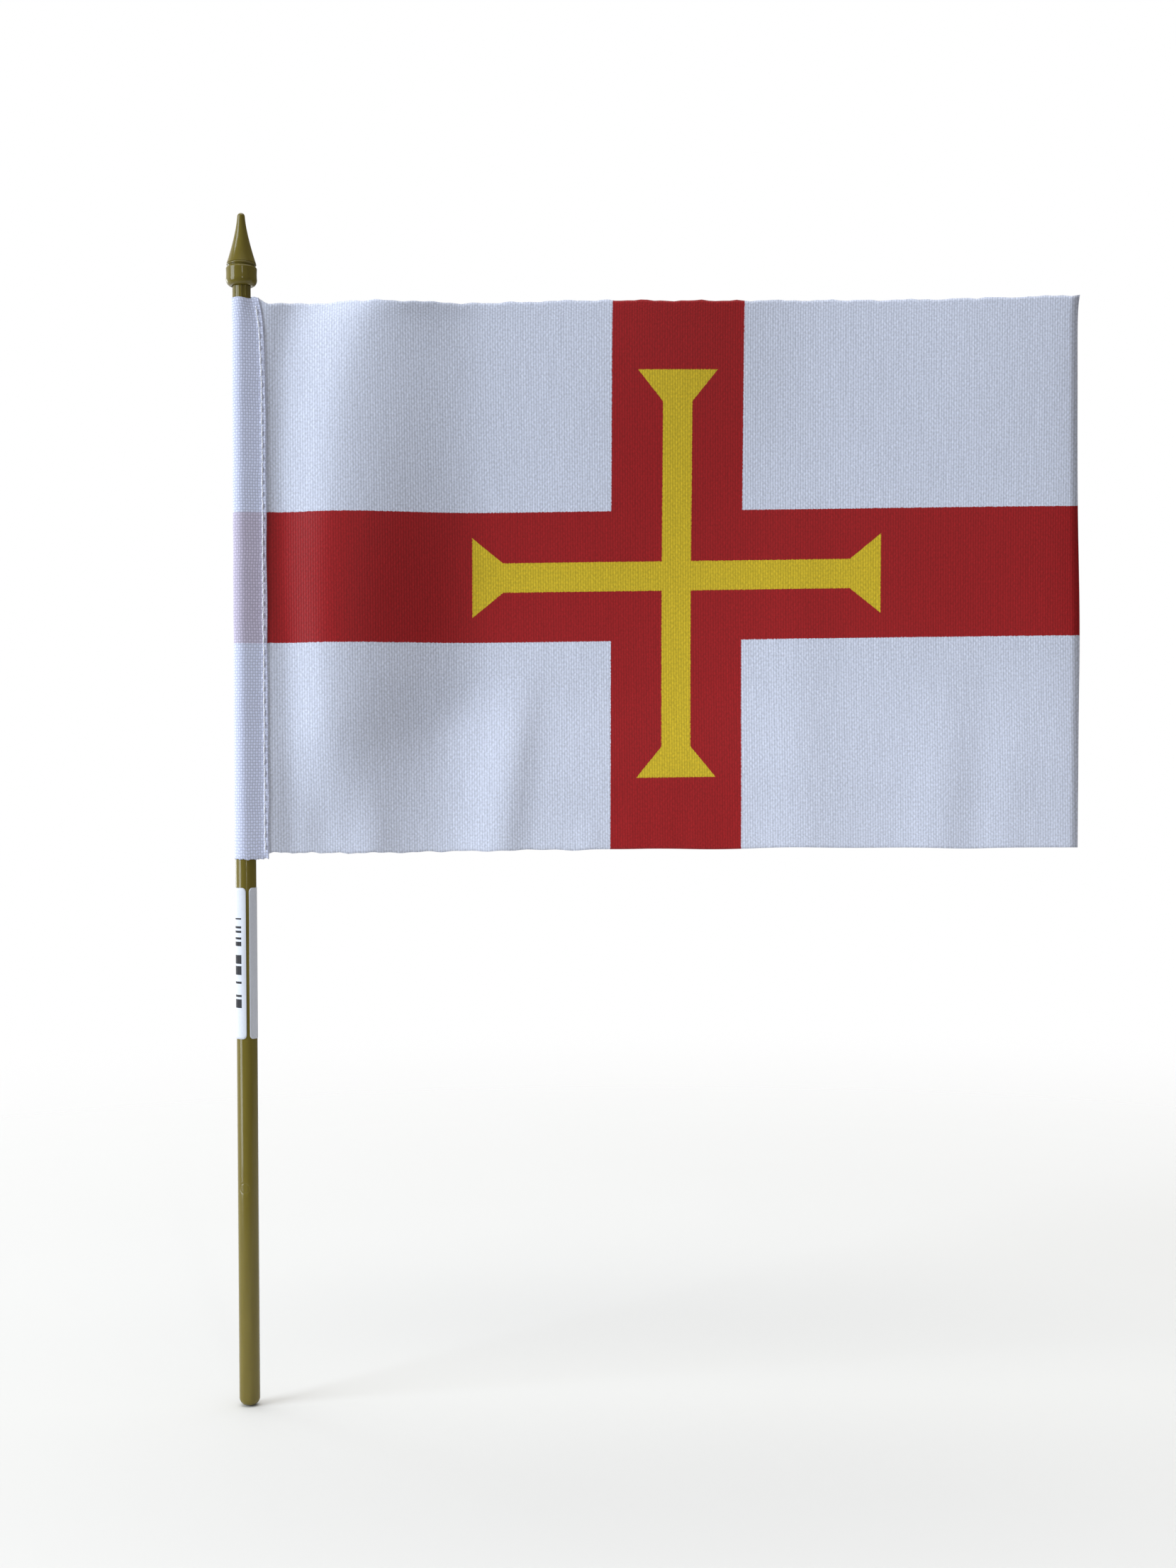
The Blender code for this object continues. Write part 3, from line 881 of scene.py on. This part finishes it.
def coated_label_paper(label):
    """Coated white label paper, machine printed: smooth and slightly glossy, with a block of plain dark
    bars whose widths are drawn by chance, so that they spell nothing."""
    material, tree, shader = new_material("coated_label_paper")
    flat = add(tree, "UVMap", uv_map="cut").outputs["UV"]
    place = add(tree, "SeparateXYZ", {"Vector": flat})
    tall = (LABEL_HIGH.z - LABEL_LOW.z) / MM
    up = add(tree, "Math", {0: place.outputs["Y"], 1: tall}, operation="MULTIPLY").outputs[0]
    wide = (2 * math.pi * STICK_HIGH.x - label.edge_gap) / MM
    over = add(tree, "Math", {0: place.outputs["X"], 1: wide}, operation="MULTIPLY").outputs[0]
    steps = add(tree, "Math", {0: up, 1: 1 / BAR_STEP}, operation="MULTIPLY").outputs[0]
    steps = add(tree, "Math", {0: steps}, operation="FLOOR").outputs[0]
    chance = add(tree, "TexWhiteNoise", {"W": steps}, noise_dimensions="1D").outputs["Value"]
    bars = add(tree, "Math", {0: chance, 1: 0.42}, operation="GREATER_THAN").outputs[0]
    block = bars
    for value, edge, inwards in zip((up, up, over, over), BAR_BLOCK, (1, -1, 1, -1)):
        whole = edge + inwards * BAR_SHARPNESS
        gate = add(tree, "MapRange", {"Value": value, "From Min": edge, "From Max": whole})
        kept = {0: block, 1: gate.outputs["Result"]}
        block = add(tree, "Math", kept, operation="MULTIPLY").outputs[0]
    fibres = add(tree, "TexNoise", {"Vector": flat, "Scale": 60.0, "Detail": 4.0}).outputs["Fac"]
    paper = add(
        tree, "Mix", {"Factor": fibres, 6: rgba(srgb("#CDD1DB")), 7: rgba(label.paper)}, data_type="RGBA"
    ).outputs[2]
    inked = {"Factor": block, 6: paper, 7: rgba(label.ink)}
    tint = add(tree, "Mix", inked, data_type="RGBA").outputs[2]
    bump = add(tree, "Bump", {"Height": fibres, "Strength": 0.15, "Distance": 0.03 * MM}).outputs["Normal"]
    join(tree, {"Base Color": tint, "Normal": bump, "Roughness": 0.5, "Specular IOR Level": 0.3}, shader)
    return material


def label_points(label):
    """The label's outer face: an arc round the stick from edge to edge, a rectangle with round corners in
    the flat, its long edges and corners lifting slightly off the stick."""
    radius = STICK_HIGH.x + label.thickness / 2 + 0.01 * MM
    wide = 2 * math.pi * radius - label.edge_gap
    ease = np.linspace(-1, 1, 81)
    across = wide / 2 * (0.55 * ease + 0.45 * np.sin(ease * math.pi / 2))[None, :]
    from_edge = wide / 2 - np.abs(across)
    inside = np.clip(label.corner - from_edge, 0, label.corner)
    nip = label.corner - np.sqrt(np.maximum(label.corner**2 - inside**2, 0))
    share = np.linspace(0, 1, 61)[:, None]
    height = LABEL_LOW.z + nip + (LABEL_HIGH.z - LABEL_LOW.z - 2 * nip) * share
    lift = 0.1 * MM * np.exp(-((from_edge / (0.9 * MM)) ** 2)) * (0.5 + 0.5 * np.sin(share * 9 + 0.6))
    middle = FRONT + LABEL_TURN + math.pi
    angle = middle + across / radius
    out = radius + lift
    points = np.stack([out * np.cos(angle), out * np.sin(angle), height], axis=-1)
    return points, (across / wide + 0.5) + 0 * height, (height - LABEL_LOW.z) / (LABEL_HIGH.z - LABEL_LOW.z)


class STICKFLAG_OT_label(Operator):
    """Build the paper label stuck round the stick"""

    bl_idname = "stick_flag.label"
    bl_label = "Paper Label"

    def execute(self, context):
        label = context.scene.stick_flag_label
        points, across, up = label_points(label)
        mesh = surface("wrapped_label", points)
        write_uv(mesh, 1 - across, up)
        piece = add_piece("wrapped_label", mesh, [coated_label_paper(label)])
        solid = piece.modifiers.new("paper_thickness", "SOLIDIFY")
        solid.thickness = label.thickness
        solid.offset = 0.0
        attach(piece, "stick")
        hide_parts("paper_label")
        return {"FINISHED"}


# ---------------------------------------------------------------- stage


def painted_floor(stage):
    """A pale painted board: matt, faintly mottled, and fading out with distance, so it has no horizon."""
    material, tree, shader = new_material("painted_board")
    where = add(tree, "TexCoord").outputs["Object"]
    mottle = add(tree, "TexNoise", {"Vector": where, "Scale": 6.0, "Detail": 2.0}).outputs["Fac"]
    tint = add(
        tree, "Mix", {"Factor": mottle, 6: rgba(srgb("#D9D9D7")), 7: rgba(stage.floor)}, data_type="RGBA"
    ).outputs[2]
    reach = add(tree, "VectorMath", {0: where}, operation="LENGTH").outputs["Value"]
    front = add(tree, "SeparateXYZ", {"Vector": where}).outputs["Y"]
    fades = [
        add(
            tree,
            "MapRange",
            {"Value": value, "From Min": gone, "From Max": whole},
            interpolation_type="SMOOTHSTEP",
        ).outputs["Result"]
        for value, gone, whole in ((reach, 0.85, 0.1), (front, -0.3, -0.1))
    ]
    solid = add(tree, "Math", {0: fades[0], 1: fades[1]}, operation="MULTIPLY").outputs[0]
    join(tree, {"Base Color": tint, "Roughness": 0.75, "Alpha": solid}, shader)
    return material


def light_room(scene):
    """A dim room with a bright ceiling and a bright wall behind on the left, plain white to the camera."""
    world = bpy.data.worlds.new("white_room")
    scene.world = world
    world.use_nodes = True
    tree = world.node_tree
    tree.nodes.clear()
    towards = add(tree, "TexCoord").outputs["Generated"]
    ceiling = add(tree, "SeparateXYZ", {"Vector": towards}).outputs["Z"]
    wall = add(
        tree, "VectorMath", {0: towards, 1: (-0.75, 0.66, 0.0)}, operation="DOT_PRODUCT"
    ).outputs["Value"]
    ceiling = add(
        tree,
        "MapRange",
        {"Value": ceiling, "From Min": 0.7, "From Max": 0.95, "To Min": 0.15, "To Max": 2.6},
        interpolation_type="SMOOTHSTEP",
    ).outputs["Result"]
    wall = add(
        tree,
        "MapRange",
        {"Value": wall, "From Min": 0.45, "From Max": 0.8, "To Min": 0.0, "To Max": 0.9},
        interpolation_type="SMOOTHSTEP",
    ).outputs["Result"]
    both = add(tree, "Math", {0: ceiling, 1: wall}, operation="ADD").outputs[0]
    room = add(tree, "Background", {"Color": (1.0, 0.99, 0.98, 1.0), "Strength": both}).outputs[0]
    plain = add(tree, "Background", {"Color": (1.0, 1.0, 1.0, 1.0), "Strength": 1.0}).outputs[0]
    seen = add(tree, "LightPath").outputs["Is Camera Ray"]
    shown = add(tree, "MixShader", {0: seen, 1: room, 2: plain}).outputs[0]
    add(tree, "OutputWorld", {"Surface": shown})


def add_window(name, place, size, watts, tint):
    """A rectangular soft light that aims at LIT_POINT."""
    light = bpy.data.lights.new(name, "AREA")
    light.shape = "RECTANGLE"
    light.size, light.size_y = size
    light.energy = watts
    light.color = tint
    lamp = bpy.data.objects.new(name, light)
    bpy.context.scene.collection.objects.link(lamp)
    lamp.location = place
    lamp.rotation_mode = "QUATERNION"
    lamp.rotation_quaternion = (Vector(LIT_POINT) - Vector(place)).to_track_quat("-Z", "Y")


class STICKFLAG_OT_stage(Operator):
    """Lay the floor, light the room and place the camera"""

    bl_idname = "stick_flag.stage"
    bl_label = "Floor, Lights and Camera"

    def execute(self, context):
        scene = context.scene
        stage = scene.stick_flag_stage
        scene.view_settings.view_transform = "Standard"
        ring = np.linspace(0, 2 * math.pi, 97)[None, :-1]
        reach = np.linspace(0.02, 1.2, 25)[:, None]
        disc = np.stack([reach * np.cos(ring), reach * np.sin(ring), 0 * reach * ring], axis=-1)
        mesh = surface("floor", disc[::-1], wrap=True, caps=(-1,))
        floor = bpy.data.objects.new("floor", mesh)
        mesh.materials.append(painted_floor(stage))
        scene.collection.objects.link(floor)
        floor.location = (0.1, 0.0, STICK_LOW.z - 0.1 * MM)
        light_room(scene)
        for light in LIGHTS:
            add_window(*light)
        lens = bpy.data.cameras.new("camera")
        camera = bpy.data.objects.new("camera", lens)
        scene.collection.objects.link(camera)
        lens.lens = lens.sensor_width * stage.camera_distance / stage.view_height
        lens.clip_start = 0.01
        camera.matrix_world = (
            Matrix.Translation((stage.aim_x, -stage.camera_distance, stage.aim_z))
            @ Matrix.Rotation(math.pi / 2, 4, "X")
            @ Matrix.Rotation(stage.roll, 4, "Z")
        )
        scene.camera = camera
        return {"FINISHED"}


class STICKFLAG_PT_sidebar(Panel):
    """Lists the flag's builders in the sidebar"""

    bl_label = "Stick Flag"
    bl_idname = "STICKFLAG_PT_sidebar"
    bl_space_type = "VIEW_3D"
    bl_region_type = "UI"
    bl_category = "Stick Flag"

    def draw(self, context):
        for operator in BUILDERS:
            self.layout.operator(operator.bl_idname)


GROUPS = {
    "stick_flag_mould": StickFlagMould,
    "stick_flag_cloth": StickFlagCloth,
    "stick_flag_seam": StickFlagSeam,
    "stick_flag_label": StickFlagLabel,
    "stick_flag_stage": StickFlagStage,
}
BUILDERS = (
    STICKFLAG_OT_stage,
    STICKFLAG_OT_stick,
    STICKFLAG_OT_finial,
    STICKFLAG_OT_label,
    STICKFLAG_OT_seam,
    STICKFLAG_OT_cloth,
)


def register():
    for name, group in GROUPS.items():
        bpy.utils.register_class(group)
        setattr(bpy.types.Scene, name, PointerProperty(type=group))
    for kind in (*BUILDERS, STICKFLAG_PT_sidebar):
        bpy.utils.register_class(kind)


def unregister():
    for kind in (STICKFLAG_PT_sidebar, *reversed(BUILDERS)):
        bpy.utils.unregister_class(kind)
    for name, group in reversed(GROUPS.items()):
        delattr(bpy.types.Scene, name)
        bpy.utils.unregister_class(group)


def main():
    register()
    bpy.ops.stick_flag.stage()
    bpy.ops.stick_flag.stick()
    bpy.ops.stick_flag.finial()
    bpy.ops.stick_flag.label()
    bpy.ops.stick_flag.seam()
    bpy.ops.stick_flag.cloth()


if __name__ == "__main__":
    main()
